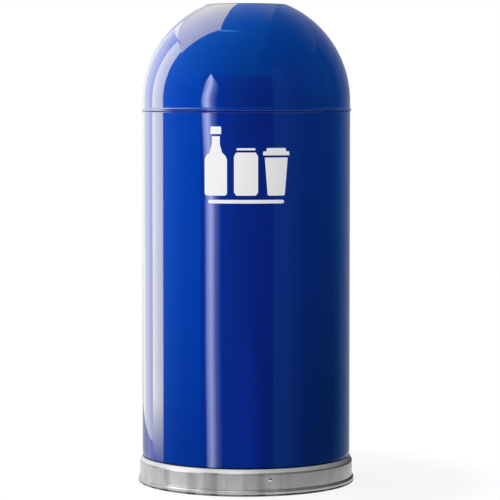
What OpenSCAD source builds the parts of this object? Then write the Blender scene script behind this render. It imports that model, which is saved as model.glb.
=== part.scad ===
// Dome top waste receptacle: a painted steel drum with a lift-off dome, a galvanised foot band
// and a lift-out galvanised liner with a wire bail.
// Millimetres. +Z is up, the front faces -Y and the origin is the centre of the floor contact.

/* [Drum] */
// Height from the floor to the top of the mouth
overall_h = 889; // [860:1:930]
// Outer diameter of the drum and of the dome
body_d = 388; // [376:1:410]
// Thickness of the painted sheet
sheet_t = 0.9; // [0.7:0.1:1.4]
// Width of the raised lap seam down the back
seam_w = 14; // [8:1:30]
// Radius of the rounded hem along the top edge of the drum
hem_r = 1.5; // [1.1:0.1:2.2]
// How far the hem stands out from the drum
hem_proud = 0.6; // [0.3:0.1:1]

/* [Dome] */
// Clear width of the round mouth
mouth_d = 147; // [110:1:190]
// Outer radius of the rolled edge of the mouth
mouth_roll_r = 2.5; // [2:0.1:5]
// Height of the straight skirt below the round of the dome
skirt_h = 19.3; // [14:0.1:40]
// Outer radius of the bead pressed into the skirt's lower edge
dome_bead_r = 3.2; // [2.8:0.1:4.5]
// How far that bead stands out from the skirt
dome_bead_proud = 2.1; // [1:0.1:2.4]
// Clearance between the skirt and the collar inside it
dome_fit = 0.3; // [0.2:0.1:0.8]

/* [Collar] */
// Thickness of the collar that centres the dome
collar_t = 1.2; // [0.9:0.1:2]
// Depth of the collar below the drum's top edge
collar_drop = 22; // [12:1:40]
// How far below the drum's top edge the collar's step inwards starts
joggle_drop = 4; // [4:0.5:8]
// Height of that step
joggle_h = 3; // [2:0.5:4]
// How far the collar's top stays below the round of the dome
collar_under = 2; // [0.5:0.5:4]
// Height of the slanted lead at the collar's top
collar_lead_h = 4; // [2:0.5:6]
// How far the lead leans inwards
collar_lead_in = 1.2; // [0.6:0.1:2]

/* [Foot band] */
// Height of the band's top lip above the floor
band_h = 48.5; // [44:0.5:70]
// Thickness of the band's sheet
band_t = 0.9; // [0.7:0.1:1.4]
// How far the band stands out from the drum
band_proud = 4.8; // [3.5:0.1:8]
// Height of the slanted shoulder with its lip
shoulder_h = 8.2; // [6:0.1:10]
// Height of the upright lip above the shoulder
lip_h = 1.2; // [0.6:0.1:2]
// Gap between the lip and the drum
lip_gap = 0.1; // [0.05:0.05:0.3]
// Outer radius of the hollow roll at the foot
roll_r = 5.8; // [5:0.1:7]
// How far the roll stands out from the band
roll_proud = 3.3; // [2:0.1:4.5]
// Gap between the flat hoop behind the band and the band's shoulder
hoop_under = 3; // [1:0.5:5]

/* [Floor ring] */
// Thickness of the ring under the roll
ring_t = 1.2; // [0.8:0.1:3]
// How much thicker the ring is at its sides than underneath
ring_flare = 0.4; // [0.2:0.1:1.5]
// How far the ring's outer lip climbs the roll
ring_lip_out = 1; // [0.5:0.1:3]
// How far the ring's inner lip climbs the roll
ring_lip_in = 4.8; // [2:0.1:8]
// Clearance between the ring and the roll
ring_gap = 0.05; // [0.05:0.05:0.2]

/* [Base pan] */
// Height of the pan's underside above the floor
pan_z = 22; // [18:0.5:25]
// Thickness of the pan
pan_t = 0.9; // [0.7:0.1:1.4]
// Height of the pan's upturned flange
pan_flange_h = 16; // [13:0.5:24]
// Height of the pressed ribs
rib_h = 3; // [1.5:0.5:5]
// Width of the pressed ribs
rib_w = 16; // [14:1:24]
// Diameter of the inner pressed rib
rib_inner_d = 120; // [80:1:160]
// Diameter of the outer pressed rib
rib_outer_d = 240; // [200:1:290]

/* [Base rivets] */
// Number of rivets round the foot
rivet_n = 3; // [2:1:8]
// Angle of the first rivet to the right of the front
rivet_turn = 12.5; // [0:0.5:40]
// Height of the rivets above the floor
rivet_z = 29.8; // [28:0.1:33]
// Diameter of a rivet's shank
rivet_d = 4; // [3:0.1:5]
// Diameter of a rivet's outer head
rivet_head_d = 7; // [6.5:0.1:9]
// Height of a rivet's outer head
rivet_head_h = 1.4; // [1:0.1:2]
// Diameter of a rivet's closed tail
rivet_tail_d = 6; // [5.5:0.1:8]
// Length of a rivet's closed tail
rivet_tail_h = 2.5; // [1.5:0.1:4]
// Clearance round a rivet's shank
rivet_gap = 0.05; // [0.02:0.01:0.2]

/* [Liner] */
// Room between the liner and the drum, in which the bail swings
liner_room = 28; // [26:0.5:44]
// Drop from the drum's top edge to the liner's rim
liner_drop = 8; // [3:1:60]
// Thickness of the liner's sheet
liner_t = 0.7; // [0.5:0.1:1.2]
// Depth of the hollow under the liner's bottom
liner_foot_h = 9; // [6:0.5:20]
// Thickness of the folded chime round the liner's foot
chime_t = 1.6; // [1:0.1:2.5]
// Diameter of the wire in the liner's rim
rim_wire_d = 5.8; // [4:0.1:7]
// Clearance round the wire in the rim
rim_wire_gap = 0.1; // [0.05:0.05:0.3]
// Height of the lower ring swage above the liner's foot
swage_low = 170; // [120:1:220]
// Height of the upper ring swage above the liner's foot
swage_high = 430; // [380:1:480]
// How far below the upper ring swage the wall's two courses of sheet meet
course_drop = 14; // [8:1:30]
// How far the ring swages stand out
swage_proud = 2; // [1:0.1:3]
// Radius of the ring swages
swage_r = 5; // [4:0.1:7]
// Width of the liner's raised lock seam
liner_seam_w = 8; // [5:1:20]
// Thickness of the liner's lock seam
liner_seam_t = 1.4; // [0.8:0.1:1.8]
// Direction of the liner's lock seam
liner_seam_turn = 135; // [110:1:150]

/* [Lugs and bail] */
// Drop from the liner's rim to the bail's pivot
pivot_drop = 34; // [33:0.5:60]
// Thickness of a lug
lug_t = 1.8; // [1.2:0.1:2.2]
// Width of a lug round the liner
lug_w = 26; // [18:1:40]
// Hollow behind the raised middle of a lug
lug_gap = 5.5; // [5:0.1:6.5]
// Half height of a lug's raised middle
lug_half = 10; // [8:0.5:11]
// Height of each slanted part of a lug
lug_slope = 5; // [3:0.5:6]
// Height of each foot of a lug
lug_foot = 9; // [8:0.5:10]
// Diameter of the rivets that hold the lugs
lug_rivet_d = 4; // [3:0.1:5]
// Diameter of those rivets' outer heads
lug_rivet_head_d = 7; // [6.4:0.1:8]
// Height of those rivets' outer heads
lug_rivet_head_h = 1.6; // [1:0.1:2.4]
// Thickness of those rivets' flat heads inside the liner
lug_rivet_flat_t = 1; // [0.6:0.1:2]
// Diameter of the bail's wire
bail_wire_d = 5; // [4:0.1:5.6]
// Clearance of the wire in a lug's hole
bail_fit = 0.1; // [0.05:0.01:0.1]
// Radius of the bail's two bends
bail_bend_r = 6; // [4:0.5:6.5]
// Length of wire outside a lug before its bend
bail_stub = 1; // [0.6:0.1:2]
// Diameter of the pressed heads at the wire's ends
bail_head_d = 8; // [7:0.1:9]
// Thickness of those heads
bail_head_t = 1.5; // [1:0.1:2.5]
// Free play between a head and its lug
bail_play = 0.3; // [0.2:0.1:0.6]

/* [Seats] */
// Gap under a piece that stands loose on another
seat_gap = 0.3; // [0.1:0.1:0.5]

/* [Hidden] */
$fn = 180;
sliver = 0.05;
lap_bite = 0.4;
cut_over = 1;

// Drum and dome
body_r = body_d / 2;
inner_r = body_r - sheet_t;
mouth_roll_cr = mouth_d / 2 + mouth_roll_r;
mouth_angle = asin(mouth_roll_cr / (body_r - mouth_roll_r));
dome_cz = overall_h - mouth_roll_r - (body_r - mouth_roll_r) * cos(mouth_angle);
dome_z0 = dome_cz - skirt_h;
dome_bead_cr = body_r + dome_bead_proud - dome_bead_r;
dome_bead_cz = dome_z0 + sqrt(pow(dome_bead_r, 2) - pow(body_r - dome_bead_cr, 2));
body_top = dome_z0 - seat_gap;

// Foot band and floor ring
band_r = body_r + band_proud;
roll_cr = band_r + roll_proud - roll_r;
roll_cz = ring_t + roll_r;
shoulder_z0 = band_h - shoulder_h;
lip_r = body_r + lip_gap + band_t;
shoulder_angle = atan((band_r - lip_r) / (shoulder_h - lip_h));
bend_drop = band_t * tan(shoulder_angle / 2);
body_z0 = roll_cz + sqrt(pow(roll_r, 2) - pow(body_r - roll_cr, 2)) + sliver;
hoop_z0 = ring_t + 2 * roll_r + sliver;
hoop_z1 = shoulder_z0 - bend_drop - hoop_under;
pan_top = pan_z + pan_t;
rib_rs = [rib_inner_d / 2, rib_outer_d / 2];

// Liner
liner_ro = inner_r - liner_room;
liner_ri = liner_ro - liner_t;
liner_z0 = pan_top + seat_gap;
liner_top = body_top - liner_drop;
swage_zs = [liner_z0 + swage_low, liner_z0 + swage_high];
course_z = swage_zs[1] - course_drop;
rim_hollow_r = rim_wire_d / 2 + rim_wire_gap;
rim_r = rim_hollow_r + liner_t;
rim_cr = liner_ri + rim_r;
rim_cz = liner_top - rim_r;

// Lugs and bail
pivot_z = liner_top - pivot_drop;
lug_face_r = liner_ro + lug_gap;
lug_out_r = lug_face_r + lug_t;
lug_span = lug_half + lug_slope + lug_foot;
lug_rivet_off = lug_half + lug_slope + lug_foot / 2;
wire_r = bail_wire_d / 2;
bail_stub_r = lug_out_r + bail_stub;
bail_leg_r = bail_stub_r + bail_bend_r;
bail_reach = bail_leg_r + bail_bend_r;
bail_droop = acos((liner_ro + wire_r + seat_gap) / bail_reach);
paint = [0.03, 0.12, 0.42];
zinc = [0.66, 0.67, 0.68];

// Turns a profile in the radius-height plane into a full ring.
module spun() rotate_extrude() children();

// Turns a profile into a short sector, width wide at radius r, centred on direction turn.
module sector(r, width, turn) {
    sweep = width / r * 180 / PI;
    rotate([0, 0, turn - sweep / 2]) rotate_extrude(angle = sweep) children();
}

// A block in the radius-height plane between two radii and two heights.
module block(r0, r1, z0, z1) translate([r0, z0]) square([r1 - r0, z1 - z0]);

// A round in the radius-height plane.
module round_at(r, z, radius) translate([r, z]) circle(r = radius);

// Places children, drawn along +X, at every base rivet.
module at_base_rivets()
    for (i = [0 : rivet_n - 1])
        rotate([0, 0, -90 + rivet_turn + i * 360 / rivet_n]) translate([0, 0, rivet_z]) children();

// Places children, drawn along +X, at every rivet of one lug.
module at_lug_rivets(turn)
    for (side = [-1, 1])
        rotate([0, 0, turn]) translate([0, 0, pivot_z + side * lug_rivet_off]) children();

// How far out a flat face of width d can lie inside a wall of radius r.
function seat_in(r, d) = sqrt(pow(r, 2) - pow(d / 2, 2));

// A round bar along +X between two radii.
module bar(r0, r1, d) translate([r0, 0, 0]) rotate([0, 90, 0]) cylinder(d = d, h = r1 - r0);

// A shallow round head that stands on radius r and is h high at its middle.
module round_head(r, d, h) {
    ball_r = (pow(d / 2, 2) + pow(h, 2)) / (2 * h);
    translate([r, 0, 0]) rotate([0, 90, 0]) rotate_extrude() intersection() {
        round_at(0, h - ball_r, ball_r);
        square([d / 2, h]);
    }
}

// Lift-off dome: spun sheet with a rolled mouth, a straight skirt and a pressed bead.
module dome() {
    wide = 2 * body_r;
    color(paint) spun() difference() {
        union() {
            intersection() {
                difference() {
                    round_at(0, dome_cz, body_r);
                    round_at(0, dome_cz, inner_r);
                }
                polygon([
                    [0, dome_cz],
                    [wide, dome_cz],
                    [wide, dome_cz + wide],
                    [wide * sin(mouth_angle), dome_cz + wide * cos(mouth_angle)]
                ]);
            }
            block(inner_r, body_r, dome_z0, dome_cz);
            intersection() {
                round_at(dome_bead_cr, dome_bead_cz, dome_bead_r);
                block(inner_r, wide, dome_z0, dome_cz);
            }
            round_at(mouth_roll_cr, overall_h - mouth_roll_r, mouth_roll_r);
        }
        round_at(dome_bead_cr, dome_bead_cz, dome_bead_r - sheet_t);
        round_at(mouth_roll_cr, overall_h - mouth_roll_r, mouth_roll_r - sheet_t);
    }
}

// Rolled drum with a lap seam down the back and a rounded hem along its top edge.
module body_shell() {
    color(paint) difference() {
        union() {
            spun() {
                block(inner_r, body_r, body_z0, body_top);
                intersection() {
                    round_at(body_r + hem_proud - hem_r, body_top - hem_r, hem_r);
                    block(inner_r, body_r + hem_proud, body_top - 2 * hem_r, body_top);
                }
            }
            sector(body_r, seam_w, 90)
                block(body_r - lap_bite, body_r + sheet_t, band_h + lip_h, body_top - 2 * hem_r);
        }
        at_base_rivets() bar(inner_r - cut_over, body_r + cut_over, rivet_d + 2 * rivet_gap);
    }
}

// Collar welded inside the drum's mouth, which centres the dome.
module dome_collar() {
    fit_r = inner_r - dome_fit;
    z0 = body_top - collar_drop;
    z1 = body_top - joggle_drop;
    z2 = z1 + joggle_h;
    z4 = dome_cz - collar_under;
    z3 = z4 - collar_lead_h;
    color(paint) spun() polygon([
        [inner_r, z0], [inner_r, z1], [fit_r, z2], [fit_r, z3], [fit_r - collar_lead_in, z4],
        [fit_r - collar_lead_in - collar_t, z4], [fit_r - collar_t, z3], [fit_r - collar_t, z2],
        [inner_r - collar_t, z1], [inner_r - collar_t, z0]
    ]);
}

// Foot band: a slanted shoulder, an upright wall and a hollow roll at the floor.
module base_band() {
    wall_z0 = roll_cz + roll_r - band_t;
    color(zinc) difference() {
        spun() difference() {
            union() {
                polygon([
                    [band_r, wall_z0], [band_r, shoulder_z0], [lip_r, band_h - lip_h], [lip_r, band_h],
                    [lip_r - band_t, band_h], [lip_r - band_t, band_h - lip_h - bend_drop],
                    [band_r - band_t, shoulder_z0 - bend_drop], [band_r - band_t, wall_z0]
                ]);
                round_at(roll_cr, roll_cz, roll_r);
            }
            round_at(roll_cr, roll_cz, roll_r - band_t);
        }
        at_base_rivets() bar(band_r - band_t - cut_over, band_r + cut_over, rivet_d + 2 * rivet_gap);
    }
}

// Flat hoop that fills the space between the drum and the band.
module base_hoop() {
    color(zinc) difference() {
        spun() block(body_r, band_r - band_t, hoop_z0, hoop_z1);
        at_base_rivets() bar(body_r - cut_over, band_r, rivet_d + 2 * rivet_gap);
    }
}

// One face of the pan's sheet over a pressed rib of radius r, from its middle outwards.
function rib_line(r, z, spread) = let (half = rib_w / 2 + spread, flat = half - rib_h)
    [[r - half, z], [r - flat, z + rib_h], [r + flat, z + rib_h], [r + half, z]];

// The points of a line in the opposite order.
function reversed(points) = [for (i = [len(points) - 1 : -1 : 0]) points[i]];

// Base pan: a ribbed floor with an upturned flange inside the drum.
module base_pan() {
    bend = pan_t * tan(22.5);
    over = [for (r = rib_rs) each rib_line(r, pan_top, bend)];
    under = [for (r = rib_rs) each rib_line(r, pan_z, 0)];
    color(zinc) difference() {
        spun() polygon(concat(
            [[0, pan_z], [0, pan_top]],
            over,
            [
                [inner_r - pan_t, pan_top], [inner_r - pan_t, pan_z + pan_flange_h],
                [inner_r, pan_z + pan_flange_h], [inner_r, pan_z]
            ],
            reversed(under)
        ));
        at_base_rivets() bar(inner_r - pan_t - cut_over, inner_r + cut_over, rivet_d + 2 * rivet_gap);
    }
}

// Blind rivets through the band, the hoop, the drum and the pan's flange.
module base_rivets() {
    tail_r = seat_in(inner_r - pan_t, rivet_tail_d);
    color(zinc) at_base_rivets() {
        bar(tail_r - rivet_tail_h / 2, band_r, rivet_d);
        bar(tail_r - rivet_tail_h, tail_r, rivet_tail_d);
        round_head(band_r, rivet_head_d, rivet_head_h);
    }
}

// Vinyl ring clipped under the roll, flat where it meets the floor.
module floor_ring() {
    out_r = roll_r + ring_t + ring_flare;
    color([0.08, 0.08, 0.09]) spun() difference() {
        intersection() {
            round_at(roll_cr, roll_cz, out_r);
            union() {
                block(roll_cr, roll_cr + out_r, 0, ring_t + ring_lip_out);
                block(roll_cr - out_r, roll_cr, 0, ring_t + ring_lip_in);
            }
        }
        round_at(roll_cr, roll_cz, roll_r + ring_gap);
    }
}

// The liner's wall in one: rolled rim, two ring swages, a lock seam and a folded chime.
module liner_sheet() {
    swage_cr = liner_ro + swage_proud - swage_r;
    difference() {
        union() {
            spun() difference() {
                union() {
                    block(liner_ri, liner_ro, liner_z0, rim_cz);
                    block(liner_ri, liner_ri + chime_t, liner_z0, liner_z0 + liner_foot_h);
                    for (z = swage_zs) intersection() {
                        round_at(swage_cr, z, swage_r);
                        block(liner_ri, liner_ro + swage_r, z - swage_r, z + swage_r);
                    }
                    round_at(rim_cr, rim_cz, rim_r);
                }
                for (z = swage_zs) round_at(swage_cr, z, swage_r - liner_t);
                round_at(rim_cr, rim_cz, rim_hollow_r);
            }
            sector(liner_ro, liner_seam_w, liner_seam_turn)
                block(liner_ro - liner_t / 2, liner_ro + liner_seam_t,
                    liner_z0 + liner_foot_h / 2, rim_cz - rim_r / 2);
        }
        for (turn = [0, 180]) at_lug_rivets(turn)
            bar(liner_ri - cut_over, liner_ro + cut_over, lug_rivet_d + 2 * rivet_gap);
    }
}

// Lower course of the liner's wall, from the folded chime to the joint.
module liner_wall() {
    color(zinc) intersection() {
        liner_sheet();
        spun() block(0, liner_ro + 2 * swage_r, liner_z0 - cut_over, course_z - seat_gap);
    }
}

// Upper course of the liner's wall, which stands on the lower one and carries the rim.
module liner_upper() {
    color(zinc) intersection() {
        liner_sheet();
        spun() block(0, rim_cr + 2 * rim_r, course_z, rim_cz + 2 * rim_r);
    }
}

// Liner bottom: a flat disc with a flange down to the liner's foot.
module liner_bottom() {
    z = liner_z0 + liner_foot_h - liner_t;
    color(zinc) spun() {
        block(0, liner_ri, z, z + liner_t);
        block(liner_ri - liner_t, liner_ri, liner_z0, z + liner_t);
    }
}

// Wire rolled into the liner's rim.
module rim_wire() color(zinc) spun() round_at(rim_cr, rim_cz, rim_wire_d / 2);

// Lug: a bridge of strap with a hole for the bail, riveted to the liner above and below.
module lug(turn) {
    foot_r = liner_ro + lug_t;
    knee = lug_half + lug_slope;
    color(zinc) difference() {
        sector(liner_ro, lug_w, turn) translate([0, pivot_z]) polygon([
            [liner_ro, -lug_span], [foot_r, -lug_span], [foot_r, -knee], [lug_out_r, -lug_half],
            [lug_out_r, lug_half], [foot_r, knee], [foot_r, lug_span], [liner_ro, lug_span],
            [liner_ro, knee - lug_t / 2], [lug_face_r, lug_half - lug_t / 2],
            [lug_face_r, lug_t / 2 - lug_half], [liner_ro, lug_t / 2 - knee]
        ]);
        rotate([0, 0, turn]) translate([0, 0, pivot_z])
            bar(lug_face_r - cut_over, lug_out_r + cut_over, bail_wire_d + 2 * bail_fit);
        at_lug_rivets(turn) bar(liner_ro - cut_over, foot_r + cut_over, lug_rivet_d + 2 * rivet_gap);
    }
}

module lug_left() lug(180);

module lug_right() lug(0);

// The four rivets that hold the lugs to the liner.
module lug_rivets() {
    foot_r = liner_ro + lug_t;
    flat_r = seat_in(liner_ri, lug_rivet_head_d);
    color(zinc) for (turn = [0, 180]) at_lug_rivets(turn) {
        bar(flat_r - lug_rivet_flat_t / 2, foot_r, lug_rivet_d);
        bar(flat_r - lug_rivet_flat_t, flat_r, lug_rivet_head_d);
        round_head(foot_r, lug_rivet_head_d, lug_rivet_head_h);
    }
}

// One end of the bail: a pressed head, a stub through the lug and a bend, in the bail's plane.
module bail_end() {
    head_r = lug_face_r - bail_play;
    bar(head_r - bail_head_t, head_r, bail_head_d);
    bar(head_r - bail_head_t / 2, bail_stub_r, bail_wire_d);
    translate([bail_stub_r, bail_bend_r, 0]) rotate([0, 0, -90])
        rotate_extrude(angle = 90) translate([bail_bend_r, 0]) circle(d = bail_wire_d);
}

// Wire bail, drawn hanging against the front of the liner.
module bail() {
    color(zinc) translate([0, 0, pivot_z]) rotate([180 + bail_droop, 0, 0]) {
        bail_end();
        mirror([1, 0, 0]) bail_end();
        translate([0, bail_bend_r, 0])
            rotate_extrude(angle = 180) translate([bail_leg_r, 0]) circle(d = bail_wire_d);
    }
}

dome();
body_shell();
dome_collar();
base_band();
base_hoop();
base_pan();
base_rivets();
floor_ring();
liner_wall();
liner_upper();
liner_bottom();
rim_wire();
lug_left();
lug_right();
lug_rivets();
bail();
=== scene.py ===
# %% [markdown]
# # Dome top waste receptacle
# A blue enamelled steel drum stands on a galvanised foot band and carries a
# lift-off half-ball dome with a round mouth. A galvanised liner with a wire
# bail stands inside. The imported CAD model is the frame: it says where every
# piece is. This notebook gives each visible piece its finish, and turns the
# sheet-metal pieces again at a finer step, because a mirror-like enamel shows
# every facet.

# %% Load the frame
import math

import bpy
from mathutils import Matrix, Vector


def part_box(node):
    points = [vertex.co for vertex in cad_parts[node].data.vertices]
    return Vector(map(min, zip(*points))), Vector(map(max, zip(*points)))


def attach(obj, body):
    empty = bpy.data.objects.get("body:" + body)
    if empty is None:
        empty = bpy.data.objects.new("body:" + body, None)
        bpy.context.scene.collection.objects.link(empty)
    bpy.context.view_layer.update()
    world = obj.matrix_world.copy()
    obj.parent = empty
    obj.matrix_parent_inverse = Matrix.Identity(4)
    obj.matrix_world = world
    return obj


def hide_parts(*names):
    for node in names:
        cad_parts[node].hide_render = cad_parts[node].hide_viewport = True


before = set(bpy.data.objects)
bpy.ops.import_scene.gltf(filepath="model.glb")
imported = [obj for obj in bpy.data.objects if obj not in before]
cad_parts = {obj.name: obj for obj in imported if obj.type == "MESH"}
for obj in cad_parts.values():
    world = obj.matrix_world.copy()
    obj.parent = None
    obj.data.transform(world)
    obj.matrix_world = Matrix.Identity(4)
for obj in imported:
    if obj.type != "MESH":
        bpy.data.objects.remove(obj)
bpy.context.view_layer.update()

# %% [markdown]
# ## The camera
# The photograph was taken from about 4.4 m with a long lens: the foot's
# ellipses are nearly flat, and the drum's sides stay parallel. The lens stands
# a little below the dome's seam and tips down a little, so the mouth at the
# top is seen edge on. Being this far away also means that near and far pieces
# keep nearly one scale.

# %% Camera
CAMERA_DISTANCE = 4.40
CAMERA_HEIGHT = 0.692
PITCH_DOWN = 3.375
YAW_RIGHT = 0.097
LENS_MM = 169.7
SENSOR_MM = 36

bpy.ops.object.camera_add(
    location=(0, -CAMERA_DISTANCE, CAMERA_HEIGHT),
    rotation=(math.radians(90 - PITCH_DOWN), 0, -math.radians(YAW_RIGHT)))
camera = bpy.context.object
camera.name = "camera"
camera.data.lens = LENS_MM
camera.data.sensor_width = SENSOR_MM
camera.data.clip_end = 50
bpy.context.scene.camera = camera
bpy.context.scene.view_settings.view_transform = "Standard"
print("camera", CAMERA_DISTANCE, "m away,", LENS_MM, "mm lens")

# %% [markdown]
# ## A small kit for materials
# A material is a graph of nodes. A few helpers keep the graphs short: they add
# a node with its settings and links, do a sum, map a range, blend two colours,
# or start a node group, which is a graph with named inputs and outputs that
# several materials share. Groups here give out only values and heights. The
# shader itself stays in each material, where an exporter can find it.

# %% Node helpers
def node(tree, kind, inputs=None, **settings):
    """A node of that kind. Inputs that are sockets are linked, and others are set."""
    made = tree.nodes.new("ShaderNode" + kind)
    for key, value in settings.items():
        setattr(made, key, value)
    for key, value in (inputs or {}).items():
        if isinstance(value, bpy.types.NodeSocket):
            tree.links.new(value, made.inputs[key])
        else:
            made.inputs[key].default_value = value
    return made


def maths(tree, operation, a, b=0.0, c=None):
    """The result socket of a Math node. MULTIPLY_ADD gives a times b, plus c."""
    values = {0: a, 1: b} if c is None else {0: a, 1: b, 2: c}
    return node(tree, "Math", values, operation=operation).outputs[0]


def distance(tree, place, point):
    """How far a place is from a point."""
    return node(tree, "VectorMath", {0: place, 1: point}, operation="DISTANCE").outputs["Value"]


def noise(tree, place, scale, detail, roughness=0.5):
    """The value socket of a Noise Texture."""
    return node(tree, "TexNoise", {
        "Vector": place, "Scale": scale, "Detail": detail, "Roughness": roughness}).outputs["Fac"]


def remap(tree, value, start, end, low=0.0, high=1.0, soft=False):
    """Turns start into low and end into high, and holds those values beyond both ends."""
    return node(tree, "MapRange", {
        "Value": value, "From Min": start, "From Max": end, "To Min": low, "To Max": high},
        interpolation_type="SMOOTHSTEP" if soft else "LINEAR").outputs["Result"]


def value_range(tree, value, low, high):
    """A value from 0 to 1 spread over low to high."""
    return remap(tree, value, 0.0, 1.0, low, high)


def height_mask(tree, place, low, high):
    """0 at the height low and 1 at the height high, in metres, with a soft step between."""
    z = node(tree, "SeparateXYZ", {"Vector": place}).outputs["Z"]
    return remap(tree, z, low, high, soft=True)


def blend(tree, factor, a, b):
    """The colour that is a where the factor is 0, and b where it is 1."""
    return node(tree, "Mix", {"Factor": factor, "A": a, "B": b},
                data_type="RGBA").outputs["Result"]


def start_group(name, values, results):
    """An empty node group that takes a place and values: its tree, inputs and outputs."""
    tree = bpy.data.node_groups.new(name, "ShaderNodeTree")
    tree.interface.new_socket("Place", in_out="INPUT", socket_type="NodeSocketVector")
    for label in values:
        tree.interface.new_socket(label, in_out="INPUT", socket_type="NodeSocketFloat")
    for label in results:
        tree.interface.new_socket(label, in_out="OUTPUT", socket_type="NodeSocketFloat")
    return (tree, tree.nodes.new("NodeGroupInput").outputs,
            tree.nodes.new("NodeGroupOutput").inputs)


def use_group(tree, group, inputs):
    """A copy of a node group in a material, with that material's own values."""
    return node(tree, "Group", inputs, node_tree=group)


def reopen(material):
    """A material's tree and shader, and the Object coordinates to paint it by."""
    tree = material.node_tree
    return tree, tree.nodes["Principled BSDF"], node(tree, "TexCoord").outputs["Object"]


def start_material(name, **constants):
    """A material with one Principled shader, followed by what reopen gives."""
    material = bpy.data.materials.new(name)
    material.use_nodes = True
    tree, shader, place = reopen(material)
    for key, value in constants.items():
        shader.inputs[key.replace("_", " ")].default_value = value
    return material, tree, shader, place


def feed(tree, shader, **sockets):
    """Links sockets to the shader's inputs."""
    for key, socket in sockets.items():
        tree.links.new(socket, shader.inputs[key.replace("_", " ")])


def cover(tree, shader, mask, colour):
    """Covers what the base colour is with another colour, where the mask is 1."""
    under = shader.inputs["Base Color"].links[0].from_socket
    feed(tree, shader, Base_Color=blend(tree, mask, under, colour))


def drive_bump(tree, shader, height):
    """Height in metres, as bump on the shader."""
    bump = node(tree, "Bump", {"Height": height, "Distance": 1.0, "Strength": 1.0})
    feed(tree, shader, Normal=bump.outputs["Normal"])
    return bump.outputs["Normal"]


print("node helpers ready")

# %% [markdown]
# ## Surface effects that several finishes share
# *Rolled sheet* is never quite round. It carries shallow flats that run up the
# wall, and a mirror finish turns them into bent reflections. The effect is
# noise that changes fast round the drum and slowly up it.
#
# *Spangle* is the frost of zinc crystals on galvanised sheet. Voronoi cells
# give each crystal its own tone and gloss.
#
# *Handling* is the faint smudging that any shop-new piece has: it changes the
# tone or the gloss a little and nothing else.

# %% Shared effects
CRYSTAL_SHIFT = 0.006  # how far noise bends the crystals' edges, in metres
SMUDGE_RANGE = 0.42, 0.72  # the noise's values that are clean and fully smudged


def make_rolled_sheet():
    """Height of the shallow flats and waves that rolling leaves in a sheet."""
    tree, given, result = start_group("rolled_sheet", ("Around", "Up", "Depth"), ("Height",))
    squeeze = node(tree, "CombineXYZ", {
        "X": given["Around"], "Y": given["Around"], "Z": given["Up"]})
    squeezed = node(tree, "VectorMath", {0: given["Place"], 1: squeeze.outputs[0]},
                    operation="MULTIPLY")
    waves = noise(tree, squeezed.outputs[0], scale=1.0, detail=2.0, roughness=0.45)
    tree.links.new(maths(tree, "MULTIPLY", waves, given["Depth"]), result["Height"])
    return tree


def make_spangle():
    """Tone and gloss of the zinc crystals, each from 0 to 1."""
    tree, given, result = start_group("spangle", ("Crystals per metre",), ("Tone", "Gloss"))
    bend = node(tree, "TexNoise", {"Vector": given["Place"], "Scale": 60.0, "Detail": 1.0})
    shift = node(tree, "VectorMath", {0: bend.outputs["Color"], "Scale": CRYSTAL_SHIFT},
                 operation="SCALE")
    bent = node(tree, "VectorMath", {0: given["Place"], 1: shift.outputs[0]})
    crystals = node(tree, "TexVoronoi", {
        "Vector": bent.outputs[0], "Scale": given["Crystals per metre"], "Randomness": 1.0})
    parts = node(tree, "SeparateColor", {0: crystals.outputs["Color"]})
    feather = noise(tree, given["Place"], scale=420.0, detail=3.0, roughness=0.6)
    plain = maths(tree, "MULTIPLY", parts.outputs["Red"], 0.5)
    tree.links.new(maths(tree, "MULTIPLY_ADD", feather, 0.5, plain), result["Tone"])
    tree.links.new(parts.outputs["Green"], result["Gloss"])
    return tree


def make_handling():
    """Faint smudges, from 0 to 1."""
    tree, given, result = start_group("handling", ("Smudges per metre",), ("Smudge",))
    cloud = noise(tree, given["Place"], given["Smudges per metre"], detail=5.0, roughness=0.62)
    tree.links.new(remap(tree, cloud, *SMUDGE_RANGE), result["Smudge"])
    return tree


ROLLED_SHEET = make_rolled_sheet()
SPANGLE = make_spangle()
HANDLING = make_handling()


def sheet_waves(tree, place, around, up, depth):
    """The rolled sheet's height in a material."""
    return use_group(tree, ROLLED_SHEET, {
        "Place": place, "Around": around, "Up": up, "Depth": depth}).outputs["Height"]


def smudges(tree, place, per_metre):
    """The smudging in a material."""
    return use_group(tree, HANDLING, {
        "Place": place, "Smudges per metre": per_metre}).outputs["Smudge"]


print("shared effects:", ", ".join(g.name for g in bpy.data.node_groups))

# %% [markdown]
# ## Gloss baked enamel
# The drum and dome wear a deep royal blue with a hard, wet-looking skin. Two
# layers give that look: a coloured layer whose own shine is broad and tinted
# blue, and a clear coat on top with a sharp mirror. The coat gets a trace of
# orange peel, and the sheet below it its waves. Two masks that go by height
# paint shade into the colour and dull the coat there: a painted shadow line
# just above the foot band, where the drum meets it, and a dark grey painted
# shade along the edge of the mouth.

# %% Blue enamel
ENAMEL_BLUE = (0.0012, 0.025, 0.27, 1)
SMUDGED_BLUE = tuple(0.93 * c for c in ENAMEL_BLUE[:3]) + (1,)
FOOT_SHADE_BLUE = (0.0006, 0.005, 0.03, 1)
MOUTH_SHADE_GREY = (0.045, 0.05, 0.07, 1)
# painted shadow: a dark line just above the foot band, where the drum meets it
FOOT_SHADE_LOW, FOOT_SHADE_HIGH = 0.0495, 0.0525
# painted shade: a dark grey line along the mouth's rolled edge
MOUTH_SHADE_RANGE = (0.8873, 0.8883)
NO_MOUTH_SHADE = (2.0, 2.1)  # above the whole object
SHADED_COAT = 0.15  # what the painted shade lines leave of the clear coat
PEEL_DEPTH = 0.0000035


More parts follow.
